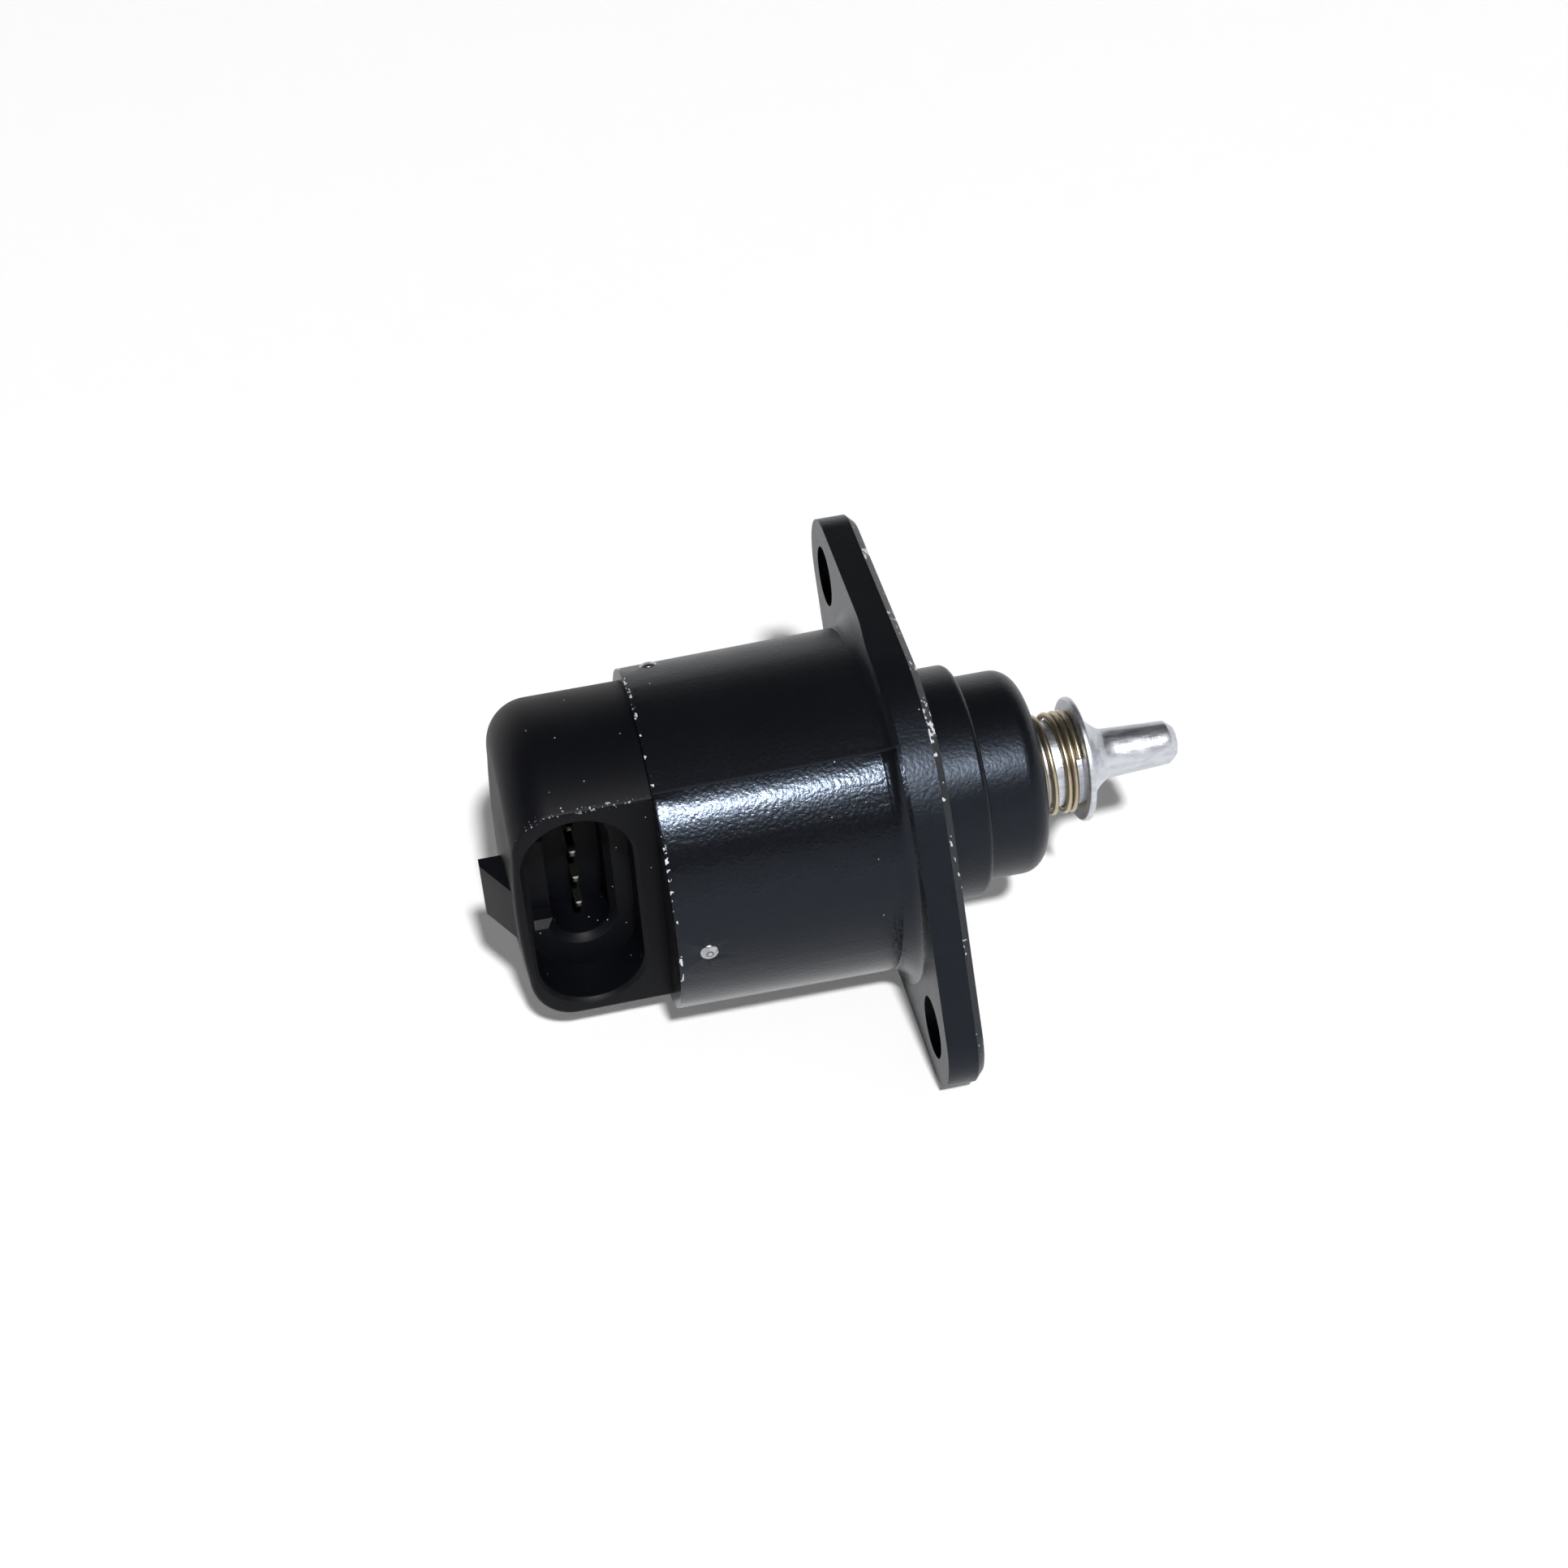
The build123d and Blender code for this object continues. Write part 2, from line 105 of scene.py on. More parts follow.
class Field:
    """A value spread over a surface: one output of a shader node. Arithmetic adds Math nodes."""

    def __init__(self, socket):
        self.socket = socket

    def node(self, kind, settings=None, inputs=None, output=0):
        """Any other node: its settings are made first, then its inputs are set or linked."""
        tree = self.socket.id_data
        made = tree.nodes.new("ShaderNode" + kind)
        for name, value in (settings or {}).items():
            setattr(made, name, value)
        for name, value in (inputs or {}).items():
            if isinstance(value, Field):
                tree.links.new(value.socket, made.inputs[name])
            else:
                made.inputs[name].default_value = value
        return Field(made.outputs[output])

    def math(self, operation, first, second=0.0):
        return self.node("Math", {"operation": operation}, {0: first, 1: second})

    def __add__(self, other):
        return self.math("ADD", self, other)

    def __radd__(self, other):
        return self.math("ADD", other, self)

    def __sub__(self, other):
        return self.math("SUBTRACT", self, other)

    def __rsub__(self, other):
        return self.math("SUBTRACT", other, self)

    def __mul__(self, other):
        return self.math("MULTIPLY", self, other)

    def __rmul__(self, other):
        return self.math("MULTIPLY", other, self)

    def __gt__(self, other):
        return self.math("GREATER_THAN", self, other)

    def __lt__(self, other):
        return self.math("LESS_THAN", self, other)


def new_finish(name, constants=None):
    """A material whose constants sit on its shader, and the place on the piece to build it from."""
    material = bpy.data.materials.new(name)
    material.use_nodes = True
    shader = material.node_tree.nodes["Principled BSDF"]
    for socket, value in (constants or {}).items():
        shader.inputs[socket].default_value = value
    place = Field(material.node_tree.nodes.new("ShaderNodeTexCoord").outputs["Object"])
    return material, place


def set_finish(material, fields):
    """Feeds what varies over the surface to the material's shader."""
    shader = material.node_tree.nodes["Principled BSDF"]
    for socket, field in fields.items():
        material.node_tree.links.new(field.socket, shader.inputs[socket])
    return material


def axis_of(place, axis):
    """One coordinate of a place, in metres."""
    return place.node("SeparateXYZ", inputs={"Vector": place}, output="XYZ".index(axis))


def along(place, direction):
    """How far a place lies along a direction."""
    inputs = {0: place, 1: direction}
    return place.node("VectorMath", {"operation": "DOT_PRODUCT"}, inputs, output="Value")


def grain(place, size, detail=2.0, stretch=(1, 1, 1)):
    """Cloudy noise from 0 to 1 whose lumps are about one size across."""
    stretched = place.node("Mapping", inputs={"Vector": place, "Scale": stretch})
    inputs = {"Vector": stretched, "Scale": 1 / size, "Detail": detail}
    return place.node("TexNoise", inputs=inputs)


def specks(place, spacing, share, reach):
    """Scattered round dots: that share of the cells holds one, with its reach as a share of a cell."""
    inputs = {"Vector": place, "Scale": 1 / spacing}
    distance = place.node("TexVoronoi", inputs=inputs, output="Distance")
    colour = place.node("TexVoronoi", inputs=inputs, output="Color")
    picked = place.node("SeparateColor", inputs={"Color": colour}) < share
    return (distance < reach) * picked


def mix(factor, first, second):
    """One colour where the factor is 0 and another where it is 1."""
    inputs = {0: factor, 6: first, 7: second}
    return factor.node("Mix", {"data_type": "RGBA"}, inputs, output=2)


def bump(height, strength, depth):
    """Surface relief from a height field, for a shader's Normal."""
    inputs = {"Height": height, "Strength": strength, "Distance": depth}
    return height.node("Bump", inputs=inputs)


def black_coat(name, chips):
    """Satin black over die-cast metal, with sparkle, dust and chips down to the metal.
    Above the parting line the upper half's draft leans the wall back, and fades out."""
    constants = {"Specular IOR Level": coat_gloss, "Specular Tint": coat_sheen}
    material, place = new_finish(name, constants)
    sparkle = grain(place, sparkle_size)
    clouds = grain(place, coat_cloud_size, detail=3.0)
    below = along(place, below_parting)
    on_can_length = axis_of(place, "X") < flange_back_x
    lower_half = (below > 0) * on_can_length
    near_line = on_can_length * (along(place, parting_line) > 0)
    above = below.math("MAXIMUM", 0.0 - below, 0.0)
    above = above.math("MINIMUM", above, draft_fade)
    above = above * near_line
    draft = draft_slope * above * (above * (0.5 / draft_fade) - 1.0)
    seam = (below.math("ABSOLUTE", below) < seam_reach) * near_line
    dust = specks(place, coat_dust_spacing, share=0.10, reach=0.055)
    patches = grain(place, chipped_patch_size)
    flakes = grain(place, flake_size, detail=3.0) + 0.9 * (patches - 0.5)
    chipped = flakes > 1 - chips
    colour = mix(dust, coat_black, dust_grey)
    colour = mix(chipped, colour, bare_metal)
    roughness = coat_roughness + 0.08 * (clouds - 0.5) + 0.10 * (sparkle - 0.5)
    roughness = roughness - lower_half_polish * lower_half
    roughness = roughness + 0.35 * dust + 0.2 * chipped + 0.5 * seam
    relief = sparkle + 0.25 * clouds - 0.8 * chipped
    return set_finish(material, {
        "Base Color": colour,
        "Roughness": roughness,
        "Normal": bump(relief * coat_relief + draft, strength=1.0, depth=1.0),
    })


def pick_alone(piece):
    """Selects one piece and nothing else."""
    bpy.ops.object.select_all(action="DESELECT")
    piece.select_set(True)
    bpy.context.view_layer.objects.active = piece


def edit_all(piece):
    """Opens one piece alone for editing, with all its faces selected."""
    pick_alone(piece)
    bpy.ops.object.mode_set(mode="EDIT")
    bpy.ops.mesh.select_mode(type="FACE")
    bpy.ops.mesh.select_all(action="SELECT")


def cut_faces(piece, wanted, place, normal):
    """Cuts along a plane the faces of a piece whose centre and normal are wanted."""
    edit_all(piece)
    bpy.ops.mesh.select_all(action="DESELECT")
    bpy.ops.object.mode_set(mode="OBJECT")
    for face in piece.data.polygons:
        face.select = wanted(face.center, face.normal)
    bpy.ops.object.mode_set(mode="EDIT")
    bpy.ops.mesh.bisect(plane_co=place, plane_no=normal)
    bpy.ops.object.mode_set(mode="OBJECT")


def apply_modifier(piece, kind, settings):
    """Adds one modifier to the piece and applies it."""
    modifier = piece.modifiers.new(kind.lower(), kind)
    for name, value in settings.items():
        setattr(modifier, name, value)
    bpy.context.view_layer.objects.active = piece
    bpy.ops.object.modifier_apply(modifier=modifier.name)


def copied_solid(node, name, edge_break, materials):
    """Copy of a solid with its triangles joined into whole faces and its sharp edges broken."""
    piece = bpy.data.objects.new(name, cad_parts[node].data.copy())
    bpy.context.scene.collection.objects.link(piece)
    piece.data.materials.clear()
    for material in materials:
        piece.data.materials.append(material)
    edit_all(piece)
    bpy.ops.mesh.customdata_custom_splitnormals_clear()
    bpy.ops.mesh.remove_doubles(threshold=weld_reach)
    bpy.ops.mesh.dissolve_limited(angle_limit=flat_angle)
    bpy.ops.object.mode_set(mode="OBJECT")
    apply_modifier(piece, "BEVEL", {
        "width": edge_break,
        "segments": 2,
        "limit_method": "ANGLE",
        "angle_limit": sharp_angle,
    })
    return piece


def smooth(piece):
    """Smooth curves and flat flats, with creases only at the sharp edges."""
    pick_alone(piece)
    bpy.ops.object.shade_smooth_by_angle(angle=crease_angle)
    apply_modifier(piece, "WEIGHTED_NORMAL", {"keep_sharp": True})


def give(piece, body, node):
    """Sets a finished piece on its body, in place of the solid that it stands for."""
    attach(piece, body)
    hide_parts(node)


def on_can(centre, normal=None):
    """True on the outer wall of the can, whichever way it faces."""
    return math.hypot(centre.y, centre.z) > can_wall_r and centre.x < flange_back_x


coats = [
    black_coat("satin_black_coat", chips=0.0),
    black_coat("chipped_black_coat", chips=0.30),
    black_coat("worn_rim_coat", chips=0.42),
]
whole_coat, chipped_coat, worn_coat = range(len(coats))
housing = copied_solid("housing", "housing_casting", coat_edge_break, coats)
housing_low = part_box("housing")[0]
worn_rim_x = housing_low.x + rim_wear
cut_faces(housing, on_can, (worn_rim_x, 0, 0), (1, 0, 0))
for side in (-parting_width / 2, parting_width / 2):
    cut_faces(housing, on_can, tuple(side * part for part in below_parting), below_parting)
for vertex in housing.data.vertices:
    below = vertex.co.y * below_parting[1] + vertex.co.z * below_parting[2]
    outward = vertex.co.y * parting_line[1] + vertex.co.z * parting_line[2]
    if on_can(vertex.co) and outward > 0 and below > step_start:
        rise = parting_step * max(0.0, 1 - below / parting_fade)
        vertex.co.y += rise * parting_line[1]
        vertex.co.z += rise * parting_line[2]
for face in housing.data.polygons:
    on_rim = face.center.x < worn_rim_x and face.normal.x > rear_face_lean
    leans = chamfer_lean[0] < face.normal.x < chamfer_lean[1]
    on_chamfer = leans and -chamfer_depth < face.center.x < 0
    face.material_index = worn_coat if on_rim else chipped_coat if on_chamfer else whole_coat
smooth(housing)
give(housing, "housing", "housing")


# Screw guide
# A black glass-filled nylon moulding, pushed into the nose ahead of the bearing. The two flats
# of its bore keep the lead screw from turning.
core_black = (0.035, 0.035, 0.038, 1)


def darker(colour, share):
    """A colour taken down to a share of itself."""
    return [share * part for part in colour[:3]] + [1]


def moulded_plastic(name, colour, roughness, texture, depth):
    """Moulded plastic with a fine mould texture and faint clouding."""
    material, place = new_finish(name)
    skin = grain(place, texture)
    clouds = grain(place, 3.0 * mm)
    return set_finish(material, {
        "Base Color": mix(clouds, darker(colour, 0.8), colour),
        "Roughness": roughness + 0.08 * (skin - 0.5) + 0.08 * (clouds - 0.5),
        "Normal": bump(skin, strength=0.2, depth=depth),
    })


def dress(nodes, material):
    """Gives CAD solids that show as they are one finish."""
    for name in nodes:
        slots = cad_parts[name].data.materials
        slots.clear()
        slots.append(material)


core_plastic = moulded_plastic(
    "black_glass_nylon", core_black, roughness=0.5, texture=0.2 * mm, depth=0.02 * mm)
dress(["screw_guide"], core_plastic)


# Front ball bearing
# Hardened and ground steel races with eight balls in a pressed brass cage.
# The outer race is pushed into the nose and the inner one onto the rotor's neck.
race_bright = (0.74, 0.74, 0.76, 1)
cage_yellow = (0.78, 0.60, 0.30, 1)


def lined_metal(name, colour, lines, roughness):
    """Bright metal with fine tool lines round the axis."""
    material, place = new_finish(name, {"Metallic": 1.0})
    rings = grain(place, lines, detail=3.0, stretch=(1, 0.02, 0.02))
    clouds = grain(place, 2.5 * mm)
    return set_finish(material, {
        "Base Color": mix(clouds, darker(colour, 0.85), colour),
        "Roughness": roughness + 0.16 * (rings - 0.5) + 0.08 * (clouds - 0.5),
        "Normal": bump(rings, strength=0.15, depth=0.01 * mm),
    })


race_steel = lined_metal("ground_bearing_steel", race_bright, lines=0.05 * mm, roughness=0.2)
dress(["bearing_outer_race", "bearing_inner_race", "bearing_balls"], race_steel)
cage_brass = lined_metal("pressed_brass", cage_yellow, lines=0.12 * mm, roughness=0.32)
dress(["bearing_cage"], cage_brass)


# Rotor
# A core moulded in the guide's plastic carries a ring of sintered ferrite, ground round and
# magnetised in stripes. The core's bore is the nut that drives the lead screw.
ferrite_grey = (0.09, 0.09, 0.095, 1)


def sintered(name, colour, metallic, roughness, pore):
    """Pressed and sintered powder: open pores in a dull ground face."""
    material, place = new_finish(name, {"Metallic": metallic})
    pores = specks(place, pore, share=0.5, reach=0.3)
    clouds = grain(place, 6 * pore, detail=3.0)
    return set_finish(material, {
        "Base Color": mix(pores, colour, darker(colour, 0.4)),
        "Roughness": roughness + 0.2 * pores + 0.15 * (clouds - 0.5),
        "Normal": bump(clouds - pores, strength=0.3, depth=0.02 * mm),
    })


ferrite = sintered("ground_ferrite", ferrite_grey, metallic=0.0, roughness=0.5, pore=0.25 * mm)
dress(["rotor_hub"], core_plastic)
dress(["rotor_magnet"], ferrite)


# Stators
# Two alike, back to back: a zinc-plated sheet steel cup and pole plate with claw teeth,
# round a natural nylon bobbin wound with enamelled copper wire.
zinc_grey = (0.56, 0.57, 0.58, 1)
nylon_cream = (0.78, 0.74, 0.64, 1)
copper_red = (0.66, 0.28, 0.10, 1)
painted_groove_shade = (0.20, 0.07, 0.02, 1)
wire_pitch = 0.24 * mm


def wound_copper(name):
    """Layers of thin enamelled wire laid side by side, with painted shade in the grooves between
    turns.
    """
    material, place = new_finish(name, {"Metallic": 0.85, "Coat Roughness": 0.15})
    turns = axis_of(place, "X") * (2 * math.pi / wire_pitch)
    wander = 1.5 * (grain(place, 2.5 * mm) - 0.5)
    # wires is 1 along each turn and 0 in the groove between turns, where the colour is painted dark as
    # shade.
    wires = 0.5 + 0.5 * turns.math("SINE", turns + wander)
    return set_finish(material, {
        "Base Color": mix(wires, painted_groove_shade, copper_red),
        "Roughness": 0.42 - 0.12 * wires,
        "Coat Weight": 0.3 + 0.3 * wires,
        "Normal": bump(wires, strength=0.8, depth=0.06 * mm),
    })


plated_sheet = lined_metal("zinc_plated_sheet", zinc_grey, lines=0.3 * mm, roughness=0.38)
dress(["stator_cup_rear", "stator_cup_front", "pole_plate_rear", "pole_plate_front"], plated_sheet)
natural_nylon = moulded_plastic(
    "natural_nylon", nylon_cream, roughness=0.45, texture=0.3 * mm, depth=0.02 * mm)
dress(["bobbin_rear", "bobbin_front"], natural_nylon)
dress(["coil_rear", "coil_front"], wound_copper("enamelled_copper"))


# Lead screw
# Rolled steel screw with two flats that the guide in the nose keeps from turning, so that
# the nut in the rotor draws it in and out. Its right-hand thread advances 1 mm a turn.
screw_grey = (0.60, 0.60, 0.62, 1)
thread_pitch = 1.0 * mm
thread_depth = 0.35 * mm
thread_steps = 40
thread_weld = 0.002 * mm
thread_crease_angle = math.radians(30)
outline_cuts = 3
outline_edge = 0.01 * mm
crest_reach = 0.3 * thread_pitch
screw_low, screw_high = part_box("lead_screw")
crest_r = screw_high.y
root_r = crest_r - thread_depth
flat_z = screw_high.z
screw_turns = int((screw_high.x - screw_low.x) / thread_pitch)
bpy.ops.object.select_all(action="DESELECT")
bpy.ops.mesh.primitive_plane_add(size=thread_pitch, location=(0, 0, 0))
lead_screw = bpy.context.object
lead_screw.name = "lead_screw_thread"
# One edge of the plane, cut in four, is the outline of one pitch that winds round the axis.
edit_all(lead_screw)
bpy.ops.mesh.subdivide(number_cuts=outline_cuts)
bpy.ops.mesh.select_mode(type="VERT")
bpy.ops.mesh.select_all(action="DESELECT")
bpy.ops.object.mode_set(mode="OBJECT")
kept_y = min(vertex.co.y for vertex in lead_screw.data.vertices) + outline_edge
for vertex in lead_screw.data.vertices:
    vertex.select = vertex.co.y > kept_y
bpy.ops.object.mode_set(mode="EDIT")
bpy.ops.mesh.delete(type="VERT")
bpy.ops.object.mode_set(mode="OBJECT")
for vertex in lead_screw.data.vertices:
    on_crest = abs(vertex.co.x) < crest_reach
    vertex.co = (vertex.co.x, 0, crest_r if on_crest else root_r)
apply_modifier(lead_screw, "SCREW", {
    "axis": "X",
    "screw_offset": thread_pitch,
    "iterations": screw_turns,
    "steps": thread_steps,
    "render_steps": thread_steps,
    "use_merge_vertices": True,
    "merge_threshold": thread_weld,
})
start_x = min(vertex.co.x for vertex in lead_screw.data.vertices)
for vertex in lead_screw.data.vertices:
    x = min(max(vertex.co.x - start_x + screw_low.x - thread_pitch / 2, screw_low.x), screw_high.x)
    z = min(max(vertex.co.z, -flat_z), flat_z)
    vertex.co = (x, vertex.co.y, z)
edit_all(lead_screw)
bpy.ops.mesh.remove_doubles(threshold=thread_weld)
bpy.ops.mesh.select_mode(type="EDGE")
bpy.ops.mesh.select_all(action="DESELECT")
bpy.ops.mesh.select_non_manifold()
bpy.ops.mesh.edge_face_add()
bpy.ops.mesh.select_all(action="SELECT")
bpy.ops.mesh.normals_make_consistent(inside=False)
bpy.ops.object.mode_set(mode="OBJECT")
bpy.ops.object.shade_smooth_by_angle(angle=thread_crease_angle)
rolled_steel = lined_metal("rolled_screw_steel", screw_grey, lines=0.1 * mm, roughness=0.3)
lead_screw.data.materials.append(rolled_steel)
give(lead_screw, "plunger", "lead_screw")


# Pintle
# Turned from bright aluminium: a hub for the spring, a thin collar, a hollow flare and a
# tapered pin that closes on the air seat. Tumbling left it bright with small dents.
aluminium_bright = (0.66, 0.68, 0.72, 1)
aluminium_dull = (0.54, 0.56, 0.60, 1)
tool_line_size = 0.10 * mm
dent_size = 0.45 * mm
dent_depth = 0.06 * mm
pintle_edge_break = 0.07 * mm


def over(field, low, high):
    """A ramp from 0 where the field is at the low value to 1 at the high one."""
    inputs = {"Value": field, "From Min": low, "From Max": high}
    return field.node("MapRange", {"interpolation_type": "SMOOTHSTEP"}, inputs)


def tumbled_aluminium(name):
    """Turned aluminium: fine rings from the tool, and the small dents of a tumbled part."""
    material, place = new_finish(name, {"Metallic": 1.0})
    rings = grain(place, tool_line_size, stretch=(1, 0.03, 0.03))
    dents = grain(place, dent_size, detail=3.0, stretch=(0.3, 1, 1))
    return set_finish(material, {
        "Base Color": mix(over(dents, low=0.35, high=0.65), aluminium_dull, aluminium_bright),
        "Roughness": 0.40 + 0.24 * (dents - 0.5) + 0.12 * (rings - 0.5),
        "Normal": bump(dents + 0.3 * rings, strength=0.6, depth=dent_depth),
    })


pintle_metal = tumbled_aluminium("tumbled_aluminium")
pintle = copied_solid("pintle", "pintle_turning", pintle_edge_break, [pintle_metal])
smooth(pintle)
give(pintle, "plunger", "pintle")


# Spring
# Drawn wire with a gold tint, wound round the pintle's hub. Its coils lie close under the
# collar and inside the nose, with one wide gap between, and it takes up the screw's play.
wire_gold = (0.60, 0.53, 0.40, 1)
wire_brown = (0.38, 0.31, 0.20, 1)
wire_r = 0.27 * mm
wire_crease_angle = math.radians(50)
points_per_turn = 40
close_turns = 2
close_pitch = 0.60 * mm
wide_gap = 1.35 * mm
rear_turns = 7
front_end_angle = math.radians(137.5)
spring_low, spring_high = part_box("spring")
coil_r = spring_high.y - wire_r
front_turn_x = spring_high.x - wire_r
wide_gap_front_x = front_turn_x - close_turns * close_pitch
wide_gap_rear_x = wide_gap_front_x - wide_gap
rear_turn_x = spring_low.x + wire_r
rear_pitch = (wide_gap_rear_x - rear_turn_x) / rear_turns


def coil_x(turns):
    """Place along the axis of the wire's middle, that many turns back from the collar."""
    if turns < close_turns:
        return front_turn_x - turns * close_pitch
    if turns < close_turns + 1:
        return wide_gap_front_x - (turns - close_turns) * wide_gap
    return wide_gap_rear_x - (turns - close_turns - 1) * rear_pitch


def drawn_wire(name):
    """Bright drawn wire, gold with browner patches, and fine lines in its skin."""
    material, place = new_finish(name, {"Metallic": 1.0})
    tint = grain(place, 1.2 * mm, detail=3.0)
    lines = grain(place, 0.08 * mm)
    return set_finish(material, {
        "Base Color": mix(tint, wire_brown, wire_gold),
        "Roughness": 0.34 + 0.2 * (lines - 0.5),
        "Normal": bump(lines, strength=0.12, depth=0.01 * mm),
    })


spring_line = bpy.data.curves.new("spring_line", "CURVE")
spring_line.dimensions = "3D"
spring_line.bevel_depth = wire_r
spring_line.bevel_resolution = 3
spring_line.use_fill_caps = True
coils = spring_line.splines.new("POLY")
point_count = (close_turns + 1 + rear_turns) * points_per_turn + 1
coils.points.add(point_count - 1)
for index, point in enumerate(coils.points):
    turns = index / points_per_turn
    angle = front_end_angle - 2 * math.pi * turns
    point.co = (coil_x(turns), coil_r * math.cos(angle), coil_r * math.sin(angle), 1)
spring = bpy.data.objects.new("return_spring", spring_line)
bpy.context.scene.collection.objects.link(spring)
pick_alone(spring)
bpy.ops.object.convert(target="MESH")
spring = bpy.context.object
bpy.ops.object.shade_smooth_by_angle(angle=wire_crease_angle)
spring.data.materials.clear()
spring.data.materials.append(drawn_wire("gold_spring_wire"))
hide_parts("spring")
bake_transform(spring)


# Rear bush and washer
# A sintered bronze ring in the cap carries the rotor's rear journal. In front of it, a coned
# spring washer of the screw's steel presses on the rotor and loads the ball bearing.
bronze_brown = (0.66, 0.48, 0.24, 1)
bronze = sintered("sintered_bronze", bronze_brown, metallic=0.9, roughness=0.45, pore=0.18 * mm)
dress(["rear_bush"], bronze)
dress(["preload_washer"], rolled_steel)


# Terminals
# Four square contact pins of tinned brass, moulded into the cap. Only the chamfered tips
# show, at the bottom of the socket. Their tin and brass are painted far darker, as shade of the
# socket.
terminal_count = 4
shade_dark_tin_grey = (0.08, 0.08, 0.077, 1)
shade_dark_brass_brown = (0.07, 0.058, 0.036, 1)
contact_edge_break = 0.04 * mm


def shade_dark_tinned_brass(name):
    """Tin over brass, worn to yellow in places, with drawing lines along the pins; both colours are
    painted dark as shade of the socket.
    """
    material, place = new_finish(name, {"Metallic": 1.0})
    worn = over(grain(place, 0.5 * mm, detail=3.0), low=0.5, high=0.7)
    lines = grain(place, 0.06 * mm, stretch=(1, 0.1, 1))
    return set_finish(material, {
        "Base Color": mix(worn, shade_dark_tin_grey, shade_dark_brass_brown),
        "Roughness": 0.45 + 0.2 * (lines - 0.5) + 0.1 * worn,
        "Normal": bump(lines, strength=0.1, depth=0.01 * mm),
    })


# The pins' colour is painted far darker than tin and brass, as shade in the socket.
tin = shade_dark_tinned_brass("shade_dark_tinned_brass")
for number in range(1, terminal_count + 1):
    node = f"terminal_{number}"
    terminal = copied_solid(node, f"contact_pin_{number}", contact_edge_break, [tin])
    smooth(terminal)
    give(terminal, "housing", node)


# Seal
# A black rubber ring, moulded in one, in the groove of the cap's spigot. The can's bore
# squeezes it, which keeps water and dust out of the motor.
rubber_black = (0.02, 0.02, 0.021, 1)
rubber = moulded_plastic(
    "seal_rubber", rubber_black, roughness=0.65, texture=0.15 * mm, depth=0.01 * mm)
dress(["cap_seal"], rubber)


# Connector cap
# Black satin plastic, moulded with the plug socket, its keyed pin pocket and the latch lug.
# A mould line crosses the top, the edge over the socket is painted pale as scuffs and as a painted
# highlight, and dust lies on it.
cap_black = (0.0024, 0.0027, 0.0042, 1)
cap_gloss = 0.12
cap_roughness = 0.50
scuff_and_highlight_grey = (0.26, 0.27, 0.31, 1)
skin_size = 0.18 * mm
skin_depth = 0.02 * mm
cap_cloud_size = 5.0 * mm
cap_dust_spacing = 0.75 * mm
scuff_and_highlight_size = 0.22 * mm
scuff_and_highlight_patch_size = 2.6 * mm
cap_edge_break = 0.20 * mm
can_rear_x = -24.0 * mm
shoulder_z = 8.0 * mm
upward_lean = 0.2
mould_line_y = -2.2 * mm
mould_line_z = 9.0 * mm
mould_line_end_x = -24.02 * mm
mould_line_width = 0.16 * mm
mould_line_rise = 0.05 * mm
face_y = -7.85 * mm
pale_band_width = 0.40 * mm
pale_band_edge_y = face_y + pale_band_width


def satin_plastic(name, scuffs_and_highlight):
    """Bluish black plastic with a fine satin skin, settled dust, and pale marks that are partly scuffs
    and partly a painted highlight.
    """
    material, place = new_finish(name, {"Specular IOR Level": cap_gloss})
    skin = grain(place, skin_size)
    clouds = grain(place, cap_cloud_size, detail=3.0)
    dust = specks(place, cap_dust_spacing, share=0.16, reach=0.07)
    patches = grain(place, scuff_and_highlight_patch_size)
    rubbed_and_highlit = grain(place, scuff_and_highlight_size, detail=3.0) + 0.35 * (patches - 0.5) > 1 - scuffs_and_highlight
    colour = mix(dust, cap_black, dust_grey)
    colour = mix(rubbed_and_highlit, colour, scuff_and_highlight_grey)
    roughness = cap_roughness + 0.12 * (clouds - 0.5) + 0.08 * (skin - 0.5) + 0.3 * dust
    return set_finish(material, {
        "Base Color": colour,
        "Roughness": roughness,
        "Normal": bump(skin + 0.3 * clouds, strength=0.22, depth=skin_depth),
    })


def on_cap_skin(centre, normal):
    """True on the cap's round outside, above its socket face and behind the can."""
    return normal.z > upward_lean and centre.z > shoulder_z and centre.x < can_rear_x


skins = [
    satin_plastic("satin_black_plastic", scuffs_and_highlight=0.0),
    satin_plastic("scuffed_highlit_black_plastic", scuffs_and_highlight=0.36),
]
clean_skin, scuffed_highlit_skin = range(len(skins))
cap = copied_solid("connector_cap", "connector_cap_moulding", cap_edge_break, skins)
for side in (-mould_line_width / 2, 0, mould_line_width / 2):
    cut_faces(cap, on_cap_skin, (0, mould_line_y + side, 0), (0, 1, 0))
for vertex in cap.data.vertices:
    on_line = abs(vertex.co.y - mould_line_y) < mould_line_width / 4
    if on_line and vertex.co.z > mould_line_z and vertex.co.x < mould_line_end_x:
        vertex.co.z += mould_line_rise
cut_faces(cap, on_cap_skin, (0, pale_band_edge_y, 0), (0, 1, 0))
# The upward-facing band along the socket face's top edge is painted pale: partly scuffs, partly a
# painted highlight of that edge.
for face in cap.data.polygons:
    on_edge = face_y < face.center.y < pale_band_edge_y and face.normal.z > upward_lean
    edge_scuffed_and_highlit = on_edge and face.center.z > shoulder_z
    face.material_index = scuffed_highlit_skin if edge_scuffed_and_highlit else clean_skin
smooth(cap)
give(cap, "housing", "connector_cap")


# Retaining pins
# Three short steel pins with domed heads, driven through the can's rim into the cap to hold
# it. The punch left a small ring on each head.
pin_angles = (180, 60, -60)
pin_bright = (0.72, 0.72, 0.74, 1)
smear_grey = (0.16, 0.16, 0.17, 1)
ring_inner_r = 0.20 * mm
ring_outer_r = 0.33 * mm
ring_depth = 0.05 * mm
head_edge_break = 0.05 * mm
pins_low, pins_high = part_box("retaining_pins")
pins_x = (pins_low.x + pins_high.x) / 2


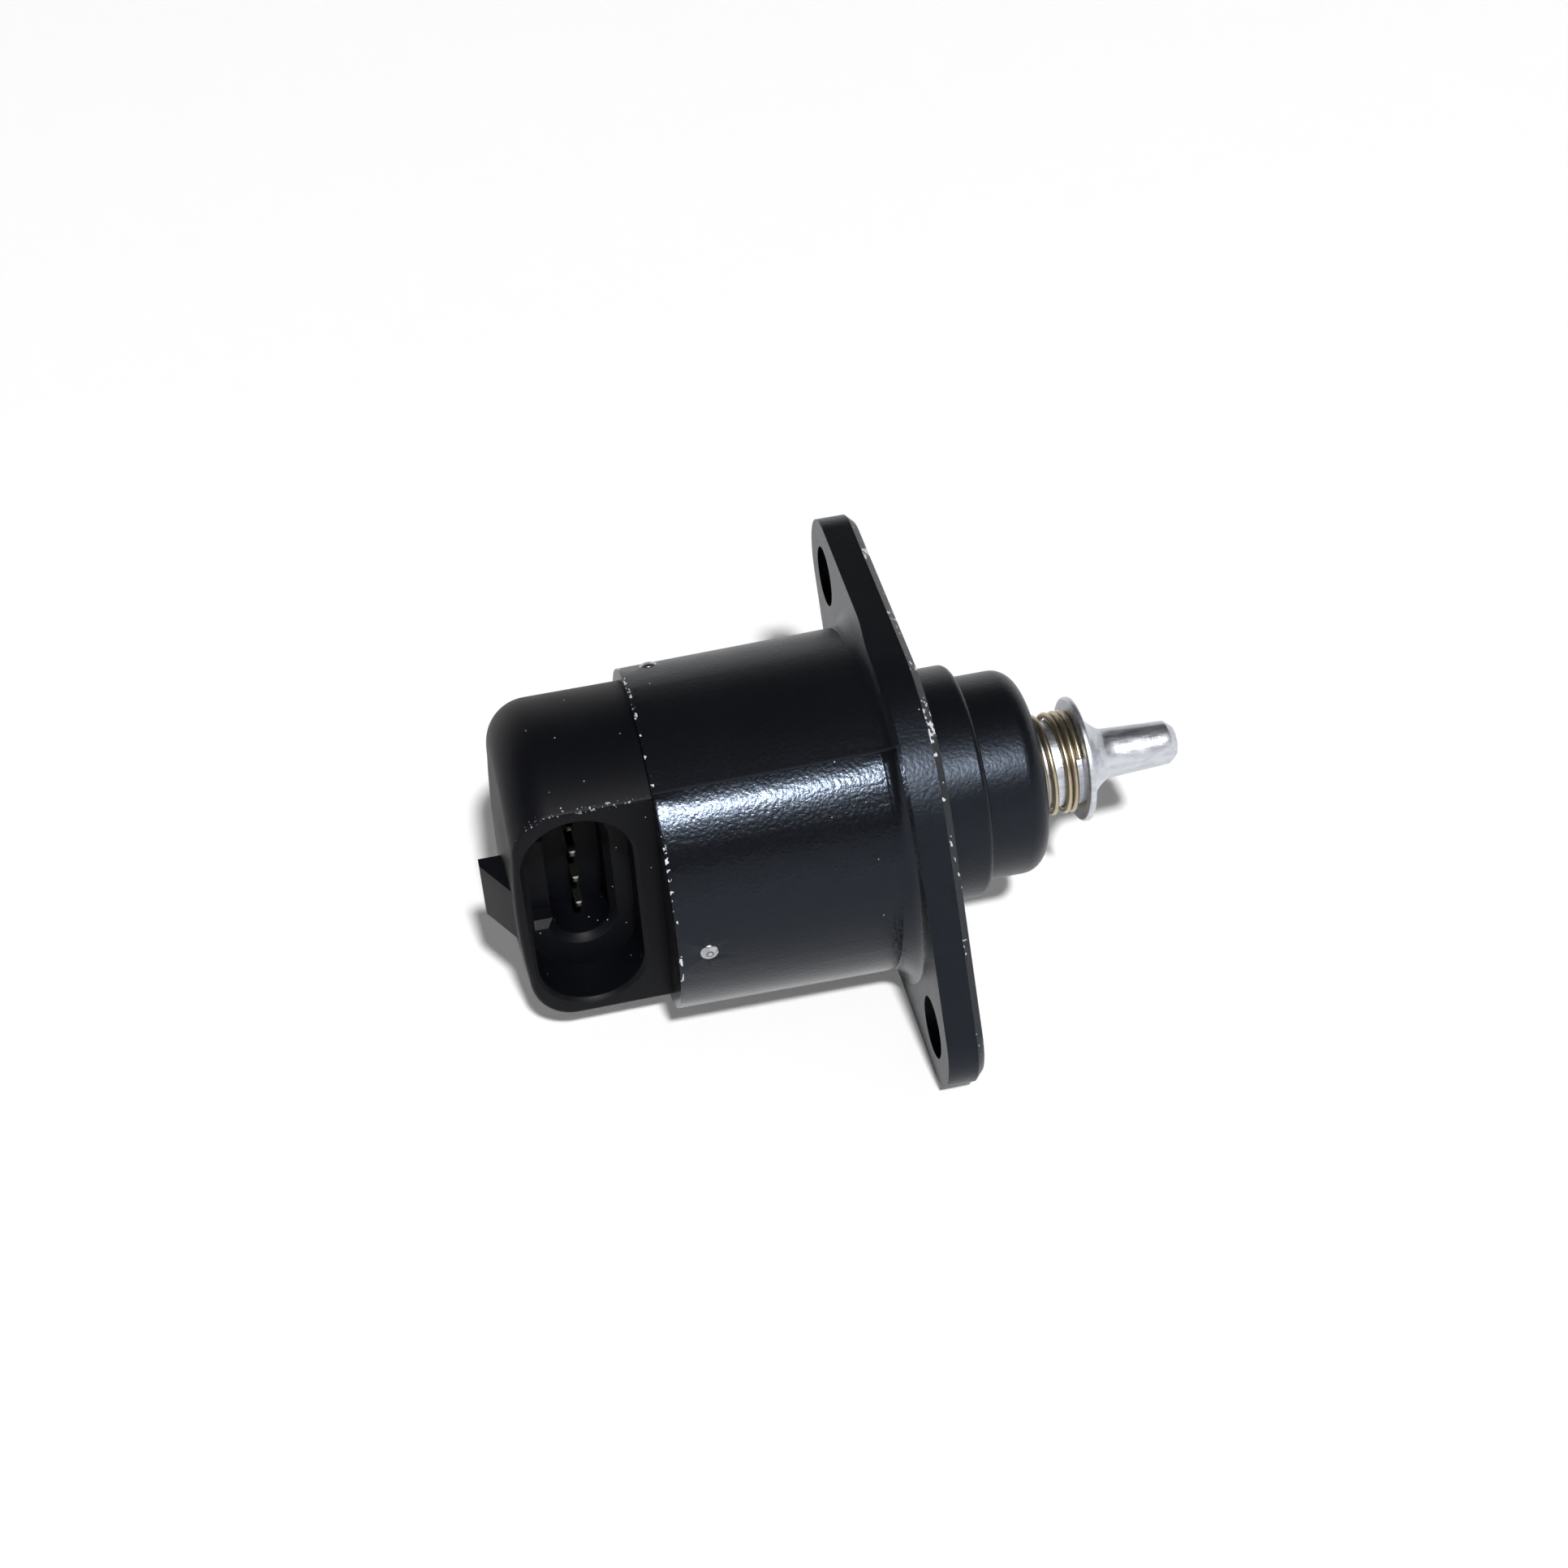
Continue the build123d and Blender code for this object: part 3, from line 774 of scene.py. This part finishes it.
def punched_steel(name):
    """Bright steel, smeared with the coat's black, with the ring of the punch on each head."""
    material, place = new_finish(name, {"Metallic": 1.0})
    smears = grain(place, 0.3 * mm, detail=3.0)
    from_middle = place.node("VectorMath", {"operation": "SUBTRACT"}, {0: place, 1: (pins_x, 0, 0)})
    ring = 0.0
    for angle in pin_angles:
        turn = math.radians(angle)
        reach = along(from_middle, (0, math.cos(turn), math.sin(turn)))
        apart = along(from_middle, from_middle) - reach * reach
        stamped = (apart > ring_inner_r ** 2) * (apart < ring_outer_r ** 2)
        ring = ring + stamped * (reach > 0)
    return set_finish(material, {
        "Base Color": mix(smears - 0.7 * ring, smear_grey, pin_bright),
        "Roughness": 0.28 + 0.25 * (smears - 0.5),
        "Normal": bump(smears - 0.6 * ring, strength=0.5, depth=ring_depth),
    })


pin_steel = punched_steel("punched_pin_steel")
pins = copied_solid("retaining_pins", "domed_retaining_pins", head_edge_break, [pin_steel])
smooth(pins)
give(pins, "housing", "retaining_pins")


# Floor and wall
# A plain floor of pale paper under the flange's straight side, and a low round wall of the same
# paper far off. They show a little brighter to the eye and in reflections, and keep the shadow.
floor_pale = (0.94, 0.94, 0.94, 1)
floor_glow = 0.12
floor_size = 6.0
wall_radius = 2.6
wall_height = 0.9
wall_sides = 96


def pale_paper(name):
    """Matt paper, part of it plain white where it is looked at or mirrored."""
    material = bpy.data.materials.new(name)
    material.use_nodes = True
    tree = material.node_tree
    tree.nodes.clear()
    path = tree.nodes.new("ShaderNodeLightPath")
    seen = Field(path.outputs["Is Camera Ray"]) + Field(path.outputs["Is Glossy Ray"])
    seen = (seen + Field(path.outputs["Is Transmission Ray"])) > 0.5
    matt = seen.node("BsdfDiffuse", inputs={"Color": floor_pale})
    white = seen.node("Emission", inputs={"Strength": 1.0})
    sheet = seen.node("MixShader", inputs={0: floor_glow * seen, 1: matt, 2: white})
    output = tree.nodes.new("ShaderNodeOutputMaterial")
    tree.links.new(sheet.socket, output.inputs["Surface"])
    return material


bpy.ops.object.select_all(action="DESELECT")
bpy.ops.mesh.primitive_plane_add(size=floor_size, location=(0, 0, cad_low.z))
floor = bpy.context.object
floor.name = "floor"
bpy.ops.mesh.primitive_cylinder_add(
    vertices=wall_sides, radius=wall_radius, depth=wall_height, end_fill_type="NOTHING",
    location=(0, 0, cad_low.z + wall_height / 2),
)
wall = bpy.context.object
wall.name = "wall"
paper = pale_paper("pale_paper")
for stage_piece in (floor, wall):
    stage_piece.data.materials.append(paper)


# Light
# One soft lamp far behind the lens, a little higher and to its right, where the highlight on
# the can puts it. It is far enough off to light the floor evenly, in a dim even surround.
lamp_place = (0.18, -2.74, 3.74)
lamp_size = 0.32
lamp_power = 258.0
surround = (0.04, 0.04, 0.044, 1)
lamp_data = bpy.data.lights.new("lens_lamp", "AREA")
lamp_data.shape = "DISK"
lamp_data.size = lamp_size
lamp_data.energy = lamp_power
lamp = bpy.data.objects.new("lens_lamp", lamp_data)
bpy.context.scene.collection.objects.link(lamp)
lamp.location = lamp_place
middle = (cad_low + cad_high) / 2
lamp.rotation_euler = (middle - lamp.location).to_track_quat("-Z", "Y").to_euler()
world = bpy.data.worlds.new("studio")
world.use_nodes = True
world.node_tree.nodes["Background"].inputs["Color"].default_value = surround
bpy.context.scene.world = world


# Camera
# It stands before the socket and above it, a little to the rear, looks down on the part, and is
# rolled so that the motor's axis climbs to the right, as in the photograph.
picture_width = 1932
focal_pixels = 3297.6
nearest_view = 5 * mm
eye = (-42.64 * mm, -169.58 * mm, 158.22 * mm)
picture_right = (0.9745, -0.2198, -0.0451)
picture_down = (-0.1799, -0.6451, -0.7426)
picture_ahead = (0.1342, 0.7318, -0.6682)
lens = bpy.data.cameras.new("camera")
lens.sensor_fit = "HORIZONTAL"
lens.lens = lens.sensor_width * focal_pixels / picture_width
lens.clip_start = nearest_view
camera = bpy.data.objects.new("camera", lens)
bpy.context.scene.collection.objects.link(camera)
columns = zip(picture_right, picture_down, picture_ahead, eye)
camera.matrix_world = Matrix([(r, -d, -a, e) for r, d, a, e in columns] + [(0, 0, 0, 1)])
bpy.context.scene.camera = camera
bpy.context.scene.view_settings.view_transform = "Standard"

bpy.context.view_layer.update()
